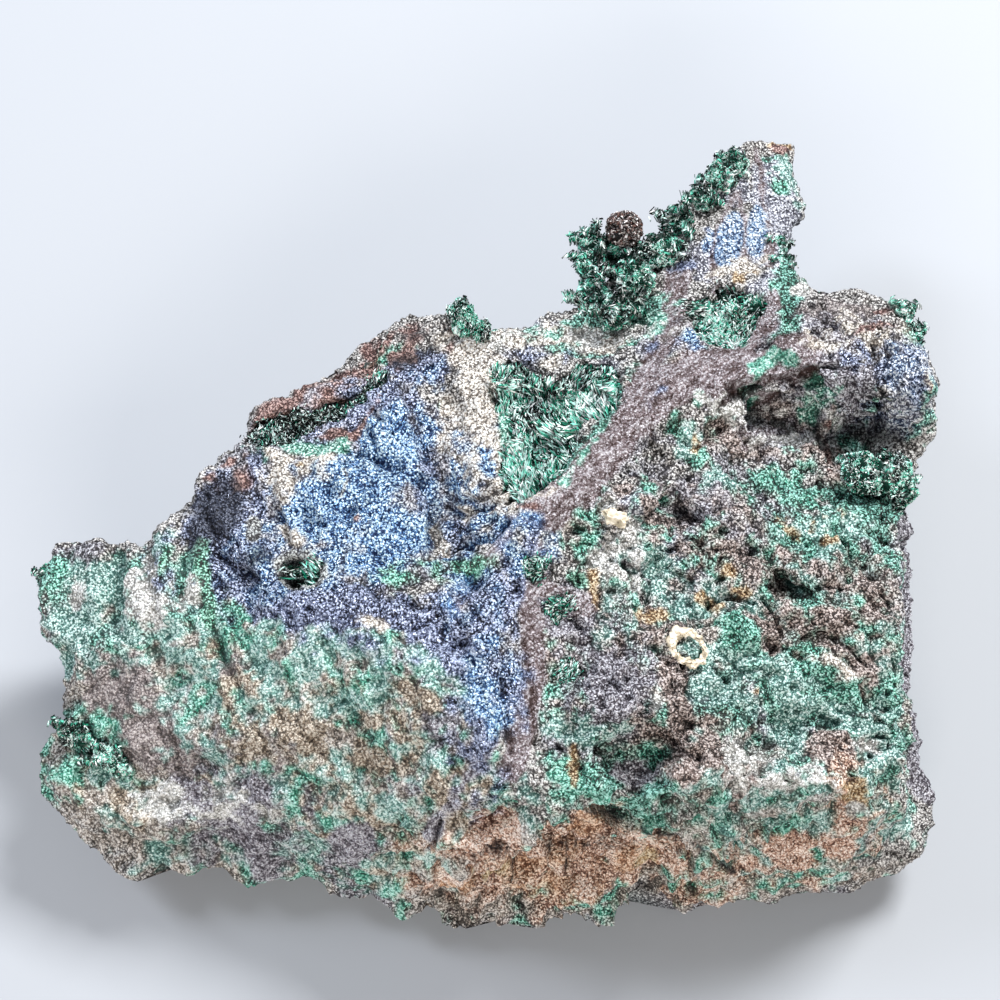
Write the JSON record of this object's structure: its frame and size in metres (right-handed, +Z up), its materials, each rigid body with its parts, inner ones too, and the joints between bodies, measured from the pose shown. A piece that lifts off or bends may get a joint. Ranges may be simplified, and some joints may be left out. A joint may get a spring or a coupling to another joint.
{
  "type": "brochantite on bornite specimen",
  "caption": "Broken mineral hand specimen lying on its back: tarnished blue and purple bornite with green brochantite needles in its hollows and along its edges.",
  "frame": {"origin": "under the middle of the specimen's bounding box, on the surface that it lies on", "axes": "+X along the long side of the crystal face, +Y towards the pointed peak, +Z up out of the crystal face"},
  "size_m": [0.1106, 0.1006, 0.0328],
  "materials": {
    "bornite": "rough broken sulphide, tarnished blue and purple, stained green and brown",
    "brochantite": "glassy emerald green needles with paler mint tips",
    "goethite": "dark brown, dull lustre",
    "calcite": "cream, fine grained"
  },
  "bodies": {
    "root": {"bornite_matrix": "bornite", "brochantite_heart_pocket": "brochantite", "brochantite_upper_pocket": "brochantite", "brochantite_shoulder_seam": "brochantite", "brochantite_left_vug": "brochantite", "brochantite_upper_vug": "brochantite", "brochantite_middle_vug": "brochantite", "brochantite_lower_vug": "brochantite", "brochantite_crest_spray": "brochantite", "brochantite_peak_druse": "brochantite", "brochantite_peak_edge": "brochantite", "brochantite_left_knob": "brochantite", "brochantite_edge_druse": "brochantite", "brochantite_corner_tuft": "brochantite", "brochantite_left_tip": "brochantite", "brochantite_lower_left_seam": "brochantite", "goethite_ball": "goethite", "calcite_grain": "calcite", "calcite_ring": "calcite"}
  },
  "joints": []
}
